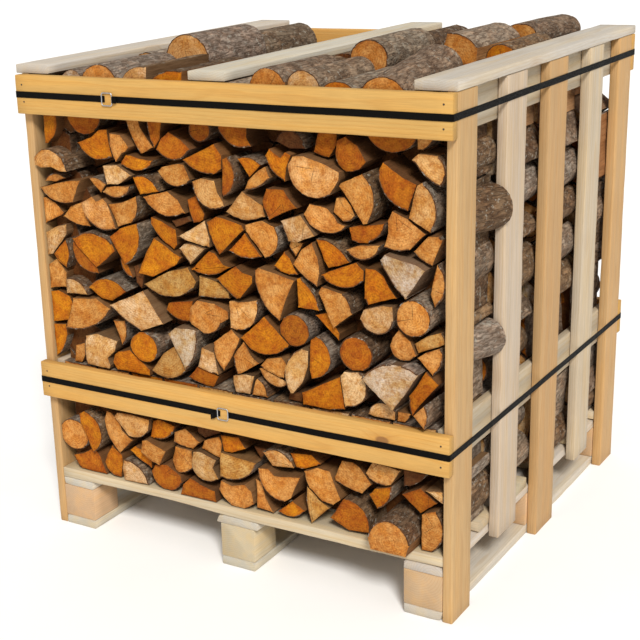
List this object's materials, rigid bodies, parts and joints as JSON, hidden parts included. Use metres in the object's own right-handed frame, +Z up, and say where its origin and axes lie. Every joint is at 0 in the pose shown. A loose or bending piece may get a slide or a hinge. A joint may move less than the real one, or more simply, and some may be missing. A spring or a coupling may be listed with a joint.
{
  "type": "crate of firewood",
  "caption": "Slatted softwood pallet crate packed with split logs laid ends to the front, held by two black straps and heaped with loose logs on top.",
  "frame": {"origin": "centre of the underside of the middle skid, on the floor, midway between the posts and between the front and rear rails", "axes": "+Z up, -Y towards the front rails, +X towards the right-hand side frame"},
  "size_m": [1.102, 1.1013, 1.18],
  "materials": {
    "yellow_pine": "sawn",
    "post_pine": "sawn",
    "pale_pine": "sawn, weathered pale",
    "split_log": "split and sawn, bark on the round sides",
    "strap": "embossed band",
    "buckle_wire": "galvanised wire"
  },
  "bodies": {
    "root": {"block_centre_left": "pale_pine", "block_centre_middle": "pale_pine", "block_centre_right": "pale_pine", "block_front_left": "pale_pine", "block_front_middle": "pale_pine", "block_front_right": "pale_pine", "block_rear_left": "pale_pine", "block_rear_middle": "pale_pine", "block_rear_right": "pale_pine", "buckle_middle": "buckle_wire", "buckle_top": "buckle_wire", "corner_post_front_left": "post_pine", "corner_post_front_right": "post_pine", "corner_post_rear_left": "post_pine", "corner_post_rear_right": "post_pine", "deck_board_1": "pale_pine", "deck_board_2": "pale_pine", "deck_board_3": "pale_pine", "deck_board_4": "pale_pine", "deck_board_5": "pale_pine", "deck_board_6": "pale_pine", "firewood_row_1": "split_log", "firewood_row_2": "split_log", "firewood_row_3": "split_log", "firewood_row_4": "split_log", "front_rail_middle": "yellow_pine", "front_rail_top": "yellow_pine", "middle_post_left": "post_pine", "middle_post_right": "post_pine", "rear_rail_middle": "yellow_pine", "rear_rail_top": "yellow_pine", "side_rail_middle_left": "pale_pine", "side_rail_middle_right": "pale_pine", "side_rail_top_left": "pale_pine", "side_rail_top_right": "pale_pine", "skid_left": "pale_pine", "skid_middle": "pale_pine", "skid_right": "pale_pine", "slat_front_left": "pale_pine", "slat_front_right": "pale_pine", "slat_rear_left": "pale_pine", "slat_rear_right": "pale_pine", "strap_middle": "strap", "strap_top": "strap", "stringer_left": "pale_pine", "stringer_middle": "pale_pine", "stringer_right": "pale_pine", "top_board_left": "pale_pine", "top_board_middle": "pale_pine", "top_board_right": "pale_pine", "top_log_1": "split_log", "top_log_10": "split_log", "top_log_2": "split_log", "top_log_3": "split_log", "top_log_4": "split_log", "top_log_5": "split_log", "top_log_6": "split_log", "top_log_7": "split_log", "top_log_8": "split_log", "top_log_9": "split_log"}
  },
  "joints": []
}
